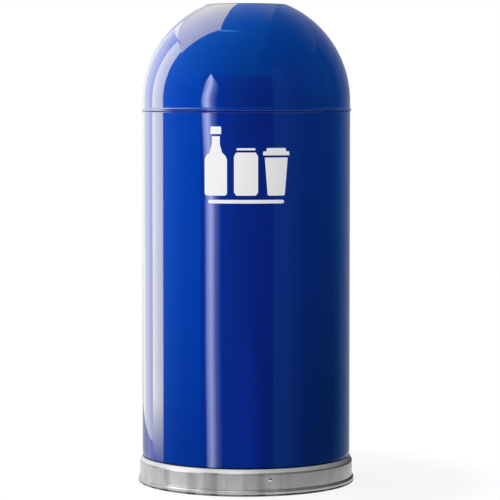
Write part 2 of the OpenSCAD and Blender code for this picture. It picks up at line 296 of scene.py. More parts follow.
def make_blue_enamel(name, wave_depth, rim_shade=NO_MOUTH_SHADE):
    """Enamel on sheet with waves, with painted shade: a dark line above the foot band, and a dark
    grey one between two heights.
    """
    material, tree, shader, place = start_material(
        name, Metallic=0.25, Roughness=0.5, Specular_IOR_Level=0.0,
        Coat_Roughness=0.02, Coat_IOR=1.5)
    # masks for the painted shade: a line at the foot and a line at the mouth
    foot_shade = height_mask(tree, place, FOOT_SHADE_HIGH, FOOT_SHADE_LOW)
    rim_shaded = height_mask(tree, place, *rim_shade)
    feed(tree, shader, Base_Color=blend(
        tree, smudges(tree, place, 5.0), ENAMEL_BLUE, SMUDGED_BLUE))
    cover(tree, shader, foot_shade, FOOT_SHADE_BLUE)
    cover(tree, shader, rim_shaded, MOUTH_SHADE_GREY)
    waves = sheet_waves(tree, place, around=7.0, up=0.9, depth=wave_depth)
    peel = noise(tree, place, scale=170.0, detail=1.5)
    normal = drive_bump(tree, shader, maths(tree, "MULTIPLY_ADD", peel, PEEL_DEPTH, waves))
    painted_shade = maths(tree, "MAXIMUM", foot_shade, rim_shaded)
    feed(tree, shader, Coat_Weight=value_range(tree, painted_shade, 1.0, SHADED_COAT),
         Coat_Normal=normal)
    return material


DRUM_ENAMEL = make_blue_enamel("blue_enamel_drum", 0.00022)
# the dome gets the painted shade line along its mouth
DOME_ENAMEL = make_blue_enamel("blue_enamel_dome", 0.00008, rim_shade=MOUTH_SHADE_RANGE)
print("enamel", ENAMEL_BLUE[:3])

# %% [markdown]
# ## Galvanised sheet, wire and rivets
# Zinc is a metal, so its colour is all in its reflection. The foot band is
# smooth skin-passed sheet: its spangle hardly shows, but the flats that the
# rolls left run up it as light and dark streaks. They are deepest near the
# front, where the strip was first bent, so a mask made from the distance to
# that place softens them round the sides. The top of the band is a slanted
# shoulder, and above a set height a painted highlight turns the zinc there
# pale and even, with less metal in it. The liner is plainer stock with a
# larger, clearer spangle.

# %% Zinc finishes
ZINC_TONES = (0.50, 0.505, 0.515, 1), (0.60, 0.605, 0.61, 1)
RIVET_TONES = (0.5, 0.5, 0.5, 1), (0.8, 0.8, 0.8, 1)
# the painted highlight on the band's shoulder: its pale grey, and the metal left in it
SHOULDER_HIGHLIGHT = (0.62, 0.62, 0.62, 1)
SHOULDER_HIGHLIGHT_METAL = 0.15
SOFT_MARKS = 0.25  # what is left of the roll marks away from where they are deepest
DRAG_RANGE = 0.36, 0.62  # the noise's values where a roll mark is darkest and palest
DRAG_TONES = -0.30, 0.12  # what a mark adds there, as a share of the tone
SMUDGE_ROUGH = 0.06  # what a smudge adds to the roughness
GRAIN_DEPTH = 0.000006


def make_galvanised(name, crystals, wave_depth, around, rough, metallic,
                    marked=(0.0, 0.0, 0.0), reach=9.0):
    """Zinc sheet. The rolls have marked it most round one point, as far as reach."""
    material, tree, shader, place = start_material(name, Metallic=metallic)
    marks = remap(tree, distance(tree, place, marked), reach, 1.5 * reach, 1.0, SOFT_MARKS,
                  soft=True)
    spangle = use_group(tree, SPANGLE, {"Place": place, "Crystals per metre": crystals})
    tone = blend(tree, spangle.outputs["Tone"], *ZINC_TONES)
    drag = sheet_waves(tree, place, around=2.8 * around, up=0.6, depth=1.0)
    drag = remap(tree, drag, *DRAG_RANGE, *DRAG_TONES)
    drag = maths(tree, "MULTIPLY_ADD", drag, marks, 1.0)
    drawn = node(tree, "VectorMath", {0: tone, "Scale": drag}, operation="SCALE")
    crystal_rough = value_range(tree, spangle.outputs["Gloss"], *rough)
    feed(tree, shader, Base_Color=drawn.outputs[0], Roughness=maths(
        tree, "MULTIPLY_ADD", smudges(tree, place, 11.0), SMUDGE_ROUGH, crystal_rough))
    waves = maths(tree, "MULTIPLY", sheet_waves(tree, place, around, 0.8, wave_depth), marks)
    grain = noise(tree, place, scale=650.0, detail=2.0)
    drive_bump(tree, shader, maths(tree, "MULTIPLY_ADD", grain, GRAIN_DEPTH, waves))
    return material


def make_grained(name, scale, detail, tones, rough, depth, **constants):
    """A finish from one noise, which gives its tone, its roughness and its bump."""
    material, tree, shader, place = start_material(name, **constants)
    grain = noise(tree, place, scale, detail)
    feed(tree, shader, Base_Color=blend(tree, grain, *tones),
         Roughness=value_range(tree, grain, *rough))
    drive_bump(tree, shader, maths(tree, "MULTIPLY", grain, depth))
    return material


def paint_shoulder_highlight(material, foot, top):
    """Above foot, a painted highlight turns the zinc a pale, even white with less metal."""
    tree, shader, place = reopen(material)
    painted_highlight = height_mask(tree, place, foot, top)
    cover(tree, shader, painted_highlight, SHOULDER_HIGHLIGHT)
    metal = shader.inputs["Metallic"].default_value
    feed(tree, shader, Metallic=value_range(tree, painted_highlight, metal, SHOULDER_HIGHLIGHT_METAL))


BAND_ZINC = make_galvanised(
    "galvanised_band", crystals=70.0, wave_depth=0.0011, around=15.0, rough=(0.27, 0.33),
    metallic=0.65, marked=(-0.05, -0.19, 0.02), reach=0.10)
# a painted highlight makes the band's shoulder pale
paint_shoulder_highlight(BAND_ZINC, foot=0.0412, top=0.0424)
LINER_ZINC = make_galvanised(
    "galvanised_liner", crystals=55.0, wave_depth=0.0006, around=9.0, rough=(0.26, 0.44),
    metallic=0.85)
WIRE_ZINC = make_grained(
    "zinc_wire", scale=900.0, detail=2.0, tones=ZINC_TONES, rough=(0.22, 0.42),
    depth=0.00001, Metallic=1.0)
RIVET_STEEL = make_grained(
    "rivet_steel", scale=700.0, detail=3.0, tones=RIVET_TONES, rough=(0.12, 0.34),
    depth=0.00012, Metallic=1.0)
print("zinc finishes: band, liner, wire, rivets")

# %% [markdown]
# ## Black vinyl and white film
# The floor ring is a soft matt vinyl section, and dust from the floor clings
# to it in patches: one noise is squeezed to a narrow range, so that it gives
# dusty and clean stretches and little between. The decal on the front is a
# thin white film: not quite white, so that the light can still shade it, with
# a satin skin.

# %% Vinyl and film
VINYL_TONES = (0.010, 0.010, 0.012, 1), (0.035, 0.035, 0.038, 1)
DUST_GREY = (0.40, 0.40, 0.40, 1)
DUST_RANGE = 0.43, 0.56  # the noise's values that are clean and dusty
FILM_WHITES = (0.83, 0.825, 0.835, 1), (0.79, 0.79, 0.805, 1)
FILM_GRAIN_DEPTH = 0.000004

VINYL = make_grained(
    "black_vinyl", scale=240.0, detail=4.0, tones=VINYL_TONES, rough=(0.42, 0.68),
    depth=0.00008, Specular_IOR_Level=0.4)
tree, shader, place = reopen(VINYL)
dust = remap(tree, noise(tree, place, scale=42.0, detail=3.0), *DUST_RANGE)
cover(tree, shader, dust, DUST_GREY)

WHITE_FILM, tree, shader, place = start_material(
    "white_film", Roughness=0.32, Coat_Weight=0.25, Coat_Roughness=0.08)
feed(tree, shader, Base_Color=blend(tree, smudges(tree, place, 16.0), *FILM_WHITES))
drive_bump(tree, shader, maths(
    tree, "MULTIPLY", noise(tree, place, scale=900.0, detail=1.0), FILM_GRAIN_DEPTH))
print("vinyl and film ready")

# %% [markdown]
# ## Turning sheet metal
# Nearly every piece is a figure of revolution. On a lathe one would draw half
# of its section and turn it, and that is what happens here: a small plane is
# merged to one vertex, the vertex is extruded from point to point along the
# outer face of the sheet, and *spin* turns that line about the vertical axis.
# *Solidify* then gives the sheet its thickness inwards. Round stretches of the
# line are arcs, worked out from a centre, a radius and two angles.

# %% Turning helpers
ROUND_STEPS = 240
SMOOTH_ANGLE = 35


def deselect():
    """Operators act on all that is selected, so each piece starts from nothing."""
    if bpy.context.object and bpy.context.object.mode != "OBJECT":
        bpy.ops.object.mode_set(mode="OBJECT")
    bpy.ops.object.select_all(action="DESELECT")


def arc(centre, radius, start, end, steps=6):
    """Points of an arc in the radius-height plane, angles in degrees from straight out."""
    turns = [math.radians(start + (end - start) * i / steps) for i in range(steps + 1)]
    return [(centre[0] + radius * math.cos(t), centre[1] + radius * math.sin(t)) for t in turns]


def draw_chain(name, points):
    """A chain of edges, drawn by pulling a vertex from point to point. Left in edit mode."""
    deselect()
    bpy.ops.mesh.primitive_plane_add(size=0.001, location=(0, 0, 0))
    piece = bpy.context.object
    piece.name = piece.data.name = name
    bpy.ops.object.mode_set(mode="EDIT")
    bpy.ops.mesh.select_all(action="SELECT")
    bpy.ops.mesh.merge(type="CENTER")
    here = (0, 0, 0)
    for i, point in enumerate(points):
        step = [there - now for there, now in zip(point, here)]
        if i == 0:
            bpy.ops.transform.translate(value=step)
        else:
            bpy.ops.mesh.extrude_vertices_move(TRANSFORM_OT_translate={"value": step})
        here = point
    bpy.ops.mesh.select_all(action="SELECT")
    return piece


def modify(piece, name, kind, **settings):
    """Gives a piece a modifier with these settings and applies it."""
    modifier = piece.modifiers.new(name, kind)
    for key, value in settings.items():
        setattr(modifier, key, value)
    bpy.ops.object.modifier_apply(modifier=modifier.name)


def turn(name, points, thickness=0.0, sweep=360.0, facing=0.0, steps=ROUND_STEPS):
    """Turns a line about the vertical axis and gives it a wall inwards, as its own object."""
    piece = draw_chain(name, [(r, 0, z) for r, z in points])
    bpy.ops.transform.rotate(
        value=-math.radians(facing + sweep / 2), orient_axis="Z", center_override=(0, 0, 0))
    bpy.ops.mesh.spin(steps=steps, angle=math.radians(sweep), center=(0, 0, 0), axis=(0, 0, 1))
    bpy.ops.mesh.select_all(action="SELECT")
    bpy.ops.mesh.remove_doubles(threshold=0.000002)
    bpy.ops.mesh.normals_make_consistent(inside=False)
    bpy.ops.object.mode_set(mode="OBJECT")
    if thickness:
        modify(piece, "wall", "SOLIDIFY", thickness=thickness, offset=-1, use_even_offset=True)
    bpy.ops.object.shade_smooth_by_angle(angle=math.radians(SMOOTH_ANGLE))
    return piece


def finish_piece(piece, material, body, *nodes):
    """Its finish, the body that it rides, and the CAD nodes that it stands for."""
    piece.data.materials.clear()
    piece.data.materials.append(material)
    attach(piece, body)
    if nodes:
        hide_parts(*nodes)
    corners = [v.co for v in piece.data.vertices]
    print(f"{piece.name}: {len(piece.data.polygons)} faces, radius "
          f"{max(math.hypot(c.x, c.y) for c in corners):.4f} m, height "
          f"{min(c.z for c in corners):.4f} to {max(c.z for c in corners):.4f} m")


print("turning helpers ready,", ROUND_STEPS, "steps to a round")

# %% [markdown]
# ## The dome
# On the real one a disc is spun over a half-ball, its lower edge is trimmed
# and beaded, and the mouth is curled inwards to a roll so that nobody cuts a
# hand. The line starts at the skirt's foot, goes round the bead, through the
# small hollow where the bead leaves the skirt, up the half-ball and round the
# curl.

# %% Dome
SHEET = 0.0009
DRUM_R = 0.194
dome_low, dome_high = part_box("dome")
BEAD_R = 0.0032
BEAD_HOLLOW_R = 0.0010
MOUTH_ROLL_R = 0.0025
MOUTH_ROLL_CR = 0.076
MOUTH_ROLL_END = 340
mouth_roll_cz = dome_high.z - MOUTH_ROLL_R
mouth_angle = math.degrees(math.asin(MOUTH_ROLL_CR / (DRUM_R - MOUTH_ROLL_R)))
dome_cz = mouth_roll_cz - (DRUM_R - MOUTH_ROLL_R) * math.cos(math.radians(mouth_angle))
bead_cr = dome_high.x - BEAD_R
bead_cz = dome_low.z + math.sqrt(BEAD_R ** 2 - (DRUM_R - bead_cr) ** 2)
hollow_cr = DRUM_R + BEAD_HOLLOW_R
hollow_rise = math.sqrt((BEAD_R + BEAD_HOLLOW_R) ** 2 - (hollow_cr - bead_cr) ** 2)
bead_top = math.degrees(math.atan2(hollow_rise, hollow_cr - bead_cr))
bead_foot = -math.degrees(math.asin((bead_cz - dome_low.z) / BEAD_R))

dome_line = (
    arc((bead_cr, bead_cz), BEAD_R, bead_foot, bead_top, steps=14)
    + arc((hollow_cr, bead_cz + hollow_rise), BEAD_HOLLOW_R, 180 + bead_top, 180, steps=5)[1:]
    + arc((0, dome_cz), DRUM_R, 0, 90 - mouth_angle, steps=56)
    + arc((MOUTH_ROLL_CR, mouth_roll_cz), MOUTH_ROLL_R, 90 - mouth_angle, MOUTH_ROLL_END,
          steps=22)[1:])
dome = turn("dome_shell", dome_line, thickness=SHEET)
finish_piece(dome, DOME_ENAMEL, "dome", "dome")

# %% [markdown]
# ## The drum
# The drum is a sheet rolled round, with a small hem at its top edge that the
# dome's bead rests just above. Its line runs up the wall in short steps and
# ends in the hem's curl. The steps matter little to the shape, but long thin
# faces take shading badly.

# %% Drum
HEM_R = 0.0015
HEM_CR = 0.1931
HEM_END = 200
WALL_STEPS = 12
drum_low, drum_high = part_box("body_shell")
hem_cz = drum_high.z - HEM_R
hem_foot = -math.degrees(math.acos((DRUM_R - HEM_CR) / HEM_R))
drum_line = (
    [(DRUM_R, drum_low.z + (hem_cz - drum_low.z) * i / WALL_STEPS) for i in range(WALL_STEPS)]
    + arc((HEM_CR, hem_cz), HEM_R, hem_foot, HEM_END, steps=14))
drum = turn("drum_shell", drum_line, thickness=SHEET)
finish_piece(drum, DRUM_ENAMEL, "root", "body_shell")

# %% [markdown]
# ## The drum's lap seam
# Rolled sheet has to meet itself somewhere, and a maker turns that place to
# the wall. The seam's outer leaf is a strip of its own here, one sheet thick,
# with a row of spot welds: each weld is a shallow dimple, pushed in with
# proportional editing so that the sheet round it follows.

# %% Lap seam at the back
SEAM_W = 0.014
SEAM_FOOT, SEAM_HEAD = 0.0497, 0.688
SEAM_STEPS_UP, SEAM_STEPS_ROUND = 220, 10
SEAM_BEVEL = 0.0003
WELD_PITCH = 0.058
WELD_R = 0.0035
WELD_DEPTH = 0.0004
seam_line = [(DRUM_R + SHEET, SEAM_FOOT + (SEAM_HEAD - SEAM_FOOT) * i / SEAM_STEPS_UP)
             for i in range(SEAM_STEPS_UP + 1)]
seam = turn("drum_lap_seam", seam_line, sweep=math.degrees(SEAM_W / DRUM_R), facing=90,
            steps=SEAM_STEPS_ROUND)
weld_count = int((SEAM_HEAD - SEAM_FOOT) / WELD_PITCH)
first_weld = (SEAM_HEAD + SEAM_FOOT - (weld_count - 1) * WELD_PITCH) / 2
bpy.ops.object.mode_set(mode="EDIT")
for i in range(weld_count):
    weld = Vector((0, DRUM_R + SHEET, first_weld + i * WELD_PITCH))
    bpy.ops.mesh.select_all(action="DESELECT")
    bpy.ops.object.mode_set(mode="OBJECT")
    nearest = min(seam.data.vertices, key=lambda v: (v.co - weld).length)
    nearest.select = True
    bpy.ops.object.mode_set(mode="EDIT")
    bpy.ops.transform.translate(
        value=(0, -WELD_DEPTH, 0), use_proportional_edit=True,
        proportional_edit_falloff="SMOOTH", proportional_size=WELD_R)
bpy.ops.object.mode_set(mode="OBJECT")
modify(seam, "leaf", "SOLIDIFY", thickness=SHEET, offset=-1)
modify(seam, "edge", "BEVEL", width=SEAM_BEVEL, segments=2, limit_method="ANGLE")
finish_piece(seam, DRUM_ENAMEL, "root")
print(weld_count, "spot welds")

# %% [markdown]
# ## The foot band
# The band is pressed from galvanised strip: a short lip that grips the drum, a
# slanted shoulder, an upright wall, and a hollow roll that takes the knocks at
# the floor. Each bend has a small radius, and those bends are what catch the
# light as thin bright lines.

# %% Foot band
def rounded(points, radii, steps):
    """A line with its inner corners rounded, one radius for each inner point."""
    line = [points[0]]
    for before, corner, after, radius in zip(points, points[1:], points[2:], radii):
        back = (Vector(before) - Vector(corner)).normalized()
        on = (Vector(after) - Vector(corner)).normalized()
        half = back.angle(on) / 2
        reach = radius / math.tan(half)
        centre = Vector(corner) + (back + on).normalized() * (radius / math.sin(half))
        first = Vector(corner) + back * reach - centre
        last = Vector(corner) + on * reach - centre
        swing = first.angle_signed(last)
        for i in range(steps + 1):
            t = -swing * i / steps
            line.append((centre.x + first.x * math.cos(t) - first.y * math.sin(t),
                         centre.y + first.x * math.sin(t) + first.y * math.cos(t)))
    line.append(points[-1])
    return line


band_low, band_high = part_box("base_band")
LIP_R = 0.195
LIP_H = 0.0012
LIP_BEND_R = 0.0008
SHOULDER_Z = 0.0403
SHOULDER_BEND_R = 0.0090
BAND_R = 0.1988
ROLL_R = 0.0058
ROLL_END = -250
roll_cr = min(band_high.x, -band_low.x, band_high.y, -band_low.y) - ROLL_R
roll_cz = band_low.z + ROLL_R
JOIN_HOLLOW_R = 0.0012
join_cr = BAND_R + JOIN_HOLLOW_R
join_rise = math.sqrt((ROLL_R + JOIN_HOLLOW_R) ** 2 - (join_cr - roll_cr) ** 2)
join_angle = math.degrees(math.atan2(join_rise, join_cr - roll_cr))
band_corners = [
    (LIP_R, band_high.z), (LIP_R, band_high.z - LIP_H), (BAND_R, SHOULDER_Z),
    (BAND_R, roll_cz + join_rise)]
band_line = (
    rounded(band_corners, [LIP_BEND_R, SHOULDER_BEND_R], steps=14)
    + arc((join_cr, roll_cz + join_rise), JOIN_HOLLOW_R, 180, 180 + join_angle,
          steps=5)[1:]
    + arc((roll_cr, roll_cz), ROLL_R, join_angle, ROLL_END, steps=34)[1:])
band = turn("foot_band", band_line, thickness=SHEET)
finish_piece(band, BAND_ZINC, "root", "base_band")

# %% [markdown]
# ## The decal
# A white film on the front tells people what to drop in. Its motifs are a
# bottle, a can and a cup that stand in a row on a bar: plain pictures, drawn
# for this model. Each motif is drawn flat in front of the drum, as half an
# outline that a mirror completes. It is then cut into narrow strips, so that
# it can bend, and pressed onto the enamel with *Shrinkwrap*. *Solidify* makes
# it film.

# %% Decal helpers
FILM = 0.00012
FILM_GAP = 0.00010
FILM_SMOOTH_ANGLE = 30
STRIP = 0.004
DECAL_FRONT = -0.25
DECAL_BASE = 0.527


def flat_figure(name, corners):
    """One face through these corners."""
    piece = draw_chain(name, corners)
    bpy.ops.mesh.remove_doubles(threshold=0.00001)
    bpy.ops.mesh.edge_face_add()
    bpy.ops.object.mode_set(mode="OBJECT")
    return piece


def half_outline(name, centre_x, foot, points):
    """A flat figure from half of its outline, given as (out from its middle, up from foot)."""
    outline = points + [(-x, z) for x, z in reversed(points) if x > 0]
    return flat_figure(name, [
        (centre_x + x, DECAL_FRONT, DECAL_BASE + (foot + z)) for x, z in outline])


def press_on(piece):
    """Cuts a flat figure into strips, presses it on the drum and gives it its thickness."""
    low = min(v.co.x for v in piece.data.vertices)
    high = max(v.co.x for v in piece.data.vertices)
    bpy.ops.object.mode_set(mode="EDIT")
    for i in range(1, math.ceil((high - low) / STRIP)):
        bpy.ops.mesh.select_all(action="SELECT")
        bpy.ops.mesh.bisect(plane_co=(low + i * STRIP, DECAL_FRONT, 0), plane_no=(1, 0, 0))
    bpy.ops.object.mode_set(mode="OBJECT")
    modify(piece, "press", "SHRINKWRAP", target=drum, wrap_method="PROJECT",
           use_project_x=False, use_project_y=True, use_project_z=False,
           use_positive_direction=True, offset=FILM_GAP)
    bpy.ops.object.mode_set(mode="EDIT")
    bpy.ops.mesh.select_all(action="SELECT")
    bpy.ops.mesh.normals_make_consistent(inside=False)
    bpy.ops.object.mode_set(mode="OBJECT")
    if sum(f.normal.y for f in piece.data.polygons) > 0:
        bpy.ops.object.mode_set(mode="EDIT")
        bpy.ops.mesh.flip_normals()
        bpy.ops.object.mode_set(mode="OBJECT")
    modify(piece, "film", "SOLIDIFY", thickness=FILM, offset=1)
    bpy.ops.object.shade_smooth_by_angle(angle=math.radians(FILM_SMOOTH_ANGLE))
    finish_piece(piece, WHITE_FILM, "root")


print("decal helpers ready")

# %% [markdown]
# ## The decal's motifs
# The three motifs share one foot line and stand 54 mm apart. A cap or lid is a
# figure of its own with a narrow gap of enamel under it, because a gap reads
# better from afar than a drawn line does.

# %% Bottle, can and cup
BAR_W, BAR_H = 0.136, 0.0065
FOOT_LINE = 0.014
APART = 0.054
FIGURES = (
    ("decal_bottle", -APART, FOOT_LINE, [
        (0, 0), *arc((0.015, 0.005), 0.005, -90, 0), (0.020, 0.060),
        *arc((0.004, 0.062), 0.016, 0, 62), (0.0072, 0.092), (0.0072, 0.106), (0, 0.106)]),
    ("decal_bottle_cap", -APART, FOOT_LINE, [
        (0, 0.110), (0.0095, 0.110), *arc((0.0075, 0.1215), 0.002, 0, 90, steps=4), (0, 0.1235)]),
    ("decal_can", 0.0, FOOT_LINE, [
        (0, 0), (0.0175, 0), (0.0215, 0.006), (0.0215, 0.070), (0.0175, 0.077), (0, 0.077)]),
    ("decal_can_lid", 0.0, FOOT_LINE, [
        (0, 0.081), (0.0165, 0.081), *arc((0.0155, 0.0835), 0.0012, 0, 90, steps=4), (0, 0.0847)]),
    ("decal_cup", APART, FOOT_LINE, [
        (0, 0), *arc((0.0125, 0.003), 0.003, -90, -8), (0.0205, 0.068), (0, 0.068)]),
    ("decal_cup_lid", APART, FOOT_LINE, [
        (0, 0.072), (0.0235, 0.072), *arc((0.0220, 0.0775), 0.0015, 0, 90, steps=4),
        (0.0180, 0.079), (0.0165, 0.085), (0, 0.085)]),
    ("decal_bar", 0.0, 0.0, [
        (0, 0), *arc((BAR_W / 2 - BAR_H / 2, BAR_H / 2), BAR_H / 2, -90, 90, steps=8),
        (0, BAR_H)]),
)
for name, centre_x, foot, points in FIGURES:
    press_on(half_outline(name, centre_x, foot, points))
print("decal", BAR_W, "m wide, from", DECAL_BASE, "m")

# %% [markdown]
# ## The studio's floor
# A glossy cylinder is a picture of the room round it, so the room is built
# with care. White paper lies below. It is a disc that fades out at its edge,
# and it is partly a glow of its own, so that it stays white while the shadow
# still darkens it. It is darker for the light that it scatters onto the
# object, which keeps the foot of the drum deep. Light Path tells these rays
# apart.

# %% Floor
FLOOR_R = 0.50
FLOOR_FADE = 0.12
FLOOR_CORNERS = 96
PAPER_WHITE, PAPER_DARK = 0.85, 0.20  # where it is seen, and for scattered light
PAPER_GLOW = 0.86
WHITE = (1, 1, 1, 1)


def seen_rays(tree):
    """1 for rays from the camera, mirrors and glass, and 0 for scattered light."""
    path = node(tree, "LightPath")
    seen = maths(tree, "MAXIMUM", path.outputs["Is Camera Ray"], path.outputs["Is Glossy Ray"])
    return maths(tree, "MAXIMUM", seen, path.outputs["Is Transmission Ray"])


def make_floor_paper():
    """White paper that keeps a shadow and fades out at its edge."""
    material = bpy.data.materials.new("floor_paper")
    material.use_nodes = True
    tree = material.node_tree
    tree.nodes.clear()
    place = node(tree, "TexCoord").outputs["Object"]
    rim = remap(tree, distance(tree, place, (0, 0, 0)), FLOOR_R - FLOOR_FADE, FLOOR_R)
    seen = seen_rays(tree)
    paper = node(tree, "BsdfDiffuse", {"Color": value_range(tree, seen, PAPER_DARK, PAPER_WHITE)})
    glow = node(tree, "Emission", {"Color": WHITE, "Strength": 1.0})
    share = maths(tree, "MULTIPLY", seen, PAPER_GLOW)
    lit = node(tree, "MixShader", {0: share, 1: paper.outputs[0], 2: glow.outputs[0]})
    clear = node(tree, "BsdfTransparent")
    whole = node(tree, "MixShader", {0: rim, 1: lit.outputs[0], 2: clear.outputs[0]})
    node(tree, "OutputMaterial", {"Surface": whole.outputs[0]})
    return material


deselect()
bpy.ops.mesh.primitive_circle_add(vertices=FLOOR_CORNERS, radius=FLOOR_R, fill_type="NGON",
                                  location=(0, 0, 0))
floor = bpy.context.object
floor.name = "floor"
floor.data.materials.append(make_floor_paper())
print("floor", FLOOR_R, "m, fading over its outer", FLOOR_FADE, "m")

# %% [markdown]
# ## The background
# The world is white for the camera and in reflections, and dimmer where it
# lights the object.

# %% Background
AMBIENT = 0.62
AMBIENT_COLOUR = (0.97, 0.98, 1.0, 1)

world = bpy.data.worlds.new("studio_white")
bpy.context.scene.world = world
world.use_nodes = True
sky = world.node_tree
sky.nodes.clear()
dim = node(sky, "Background", {"Color": AMBIENT_COLOUR, "Strength": AMBIENT})
bright = node(sky, "Background", {"Color": WHITE, "Strength": 1.0})
both = node(sky, "MixShader", {0: seen_rays(sky), 1: dim.outputs[0], 2: bright.outputs[0]})
node(sky, "OutputWorld", {"Surface": both.outputs[0]})
print("background white, ambient", AMBIENT)

# %% [markdown]
# ## Lamps in two groups
# The photograph's enamel and zinc can't be matched under the same lamps: the
# enamel wants warm light that leaves its blue deep, and the zinc wants plain
# white light. *Light linking* lets a lamp light only the pieces in a
# collection, or all but those. So each group has lamps of its own. Two large
# fills, which reflections don't see, bring the enamel to its colour, and a
# softbox behind it at the left rims the drum. The rest has a box overhead, one
# at the left and one in front.

# %% Softboxes
def softbox(name, width, height, place, target, radiance, colour=(1, 1, 1)):
    """A rectangular lamp at place that faces target. Its power follows from its radiance."""
    deselect()
    bpy.ops.object.light_add(type="AREA", location=place)
    lamp = bpy.context.object
    lamp.name = name
    lamp.rotation_euler = (Vector(target) - Vector(place)).to_track_quat("-Z", "Y").to_euler()
    lamp.data.shape = "RECTANGLE"
    lamp.data.size = width
    lamp.data.size_y = height
    lamp.data.energy = math.pi * width * height * radiance
    lamp.data.color = colour
    lamp.visible_camera = False
    print(f"{name}: {lamp.data.energy:.0f} W")
    return lamp


def lamps_for(name, pieces, state, *lamps):
    """Lets lamps light only these pieces (INCLUDE), or all but them (EXCLUDE)."""
    group = bpy.data.collections.new(name)
    for piece in pieces:
        group.objects.link(piece)
    for member in group.collection_objects:
        member.light_linking.link_state = state
    for lamp in lamps:
        lamp.light_linking.receiver_collection = group


back_side = softbox(
    "back_side_softbox", width=1.18, height=1.78, place=(-0.94, 1.13, 0.81),
    target=(-0.02, 0.83, 0.81), radiance=1.72, colour=(1.0, 0.96, 0.67))
fill = softbox(
    "enamel_fill", width=1.4, height=1.4, place=(-1.85, -0.08, 2.05),
    target=(0, 0, 0.5), radiance=25.5, colour=(1.0, 1.0, 0.52))
fill_top = softbox(
    "enamel_fill_top", width=1.4, height=1.4, place=(0.1, -0.55, 3.3),
    target=(0, 0, 0.8), radiance=9.5, colour=(0.3, 1.0, 0.42))
fill.visible_glossy = fill_top.visible_glossy = False
top = softbox(
    "top_softbox", width=1.3, height=1.2, place=(-1.0, 0.66, 1.92),
    target=(-1.0, 0.66, 0), radiance=4.4)
zinc_left = softbox(
    "zinc_softbox", width=2.0, height=1.6, place=(-1.9, -0.4, 0.9),
    target=(0, 0, 0.2), radiance=2.2)
zinc_front = softbox(
    "front_softbox", width=2.0, height=2.0, place=(-0.7, -2.6, 1.9),
    target=(0, 0, 0.4), radiance=2.7)

# %% [markdown]
# ## Screens for the reflections
# What one sees in a mirror-like cylinder stands all round it, so the room is
# hung with screens: round curtains, cloths overhead and bright panels. Only
# reflections see them: they cast no shadow and hide nothing. A cloth can turn
# from a shade to its colour along one axis, which gives soft ends, or round a
# point, which gives a soft spot.

# %% Screen helpers
CURTAIN_R = 2.7
CURTAIN_LOW, CURTAIN_HIGH = -1.6, 2.6
CURTAIN_STEPS = 48


def make_cloth(name, glow, colour=(1, 1, 1), shade=(0, 0, 0), fade=None, along="Y"):
    """Cloth that glows evenly, or turns from a shade to its colour over a range (fade).

    The range lies along an axis, or is a distance where along is a point.
    """
    material, tree, shader, place = start_material(
        name, Base_Color=(0, 0, 0, 1), Roughness=1.0, Specular_IOR_Level=0.0,
        Emission_Color=(*colour, 1), Emission_Strength=glow)
    if fade:
        if along in ("X", "Y", "Z"):
            reach = node(tree, "SeparateXYZ", {"Vector": place}).outputs[along]
        else:
            reach = distance(tree, place, along)
        feed(tree, shader, Emission_Color=blend(
            tree, remap(tree, reach, *fade), (*shade, 1), (*colour, 1)))
    return material


def hang(piece, cloth):
    """Gives a screen its cloth. Only reflections see it."""
    piece.data.materials.clear()
    piece.data.materials.append(cloth)
    for ray in ("camera", "diffuse", "shadow", "transmission"):
        setattr(piece, "visible_" + ray, False)


def curtain(name, start, end, cloth, radius=CURTAIN_R, low=CURTAIN_LOW, high=CURTAIN_HIGH):
    """A round curtain between two bearings, in degrees to the right of the camera."""
    piece = turn(name, [(radius, low), (radius, high)],
                 sweep=end - start, facing=(start + end) / 2 - 90, steps=CURTAIN_STEPS)
    hang(piece, cloth)
    return piece


def panel(name, corners, cloth):
    """A flat screen through these corners."""
    piece = flat_figure(name, corners)
    hang(piece, cloth)
    return piece


def ceiling(name, left, right, near, far, cloth):
    """A flat cloth overhead, between two x and two y."""
    return panel(name, [
        (left, near, CURTAIN_HIGH), (right, near, CURTAIN_HIGH),
        (right, far, CURTAIN_HIGH), (left, far, CURTAIN_HIGH)], cloth)


print("screen helpers ready, curtains at", CURTAIN_R, "m")

# %% [markdown]
# ## Curtains and cloths overhead
# Each bearing from the drum's front maps to a line on the drum at half that
# angle. So each curtain hangs between two bearings: pale ones behind, where
# the drum's edges look, dark ones in front, and blue ones between. Two low
# curtains hang before the others: the left one darkens the drum's foot, and
# the one in front puts a blue spot there.

# %% Curtains and cloths overhead
LOW_R, LOW_HIGH = 2.6, 0.36
SPLIT_X = 0.6  # where the cloths overhead meet
NIGHT_BLUE = (0.03, 0.5, 0.8)
NIGHT_GLOW = 0.62
NIGHT_SHADE = (0.08, 0.03, 0.055)
SPOT_GLOW = 2.6
SPOT_SHADE = tuple(round(NIGHT_GLOW / SPOT_GLOW * c, 4) for c in NIGHT_SHADE)

left_curtain = curtain("left_curtain", -104, -46, make_cloth(
    "left_cloth", glow=1.0, colour=(0.02, 0.42, 0.80), shade=(0.0, 0.33, 1.65),
    fade=(1.4, 2.4), along="Z"))
front_curtain = curtain("front_curtain", -46, 29, make_cloth(
    "front_cloth", glow=NIGHT_GLOW, colour=NIGHT_BLUE, shade=NIGHT_SHADE,
    fade=(1.98, 2.12), along="Z"))
left_low = curtain("left_low_curtain", -104, -46, make_cloth(
    "left_low_cloth", glow=1.0, colour=(0.0, 0.33, 1.65), shade=(0.0, 0.0, 0.0),
    fade=(-0.52, 0.17), along="Z"), radius=LOW_R, high=LOW_HIGH)
front_low = curtain("front_low_curtain", -26, 29, make_cloth(
    "front_low_cloth", glow=SPOT_GLOW, colour=(0.02, 0.09, 1.0), shade=SPOT_SHADE,
    fade=(1.10, 0.26), along=(-0.05, -LOW_R, -0.9)), radius=LOW_R, high=LOW_HIGH)
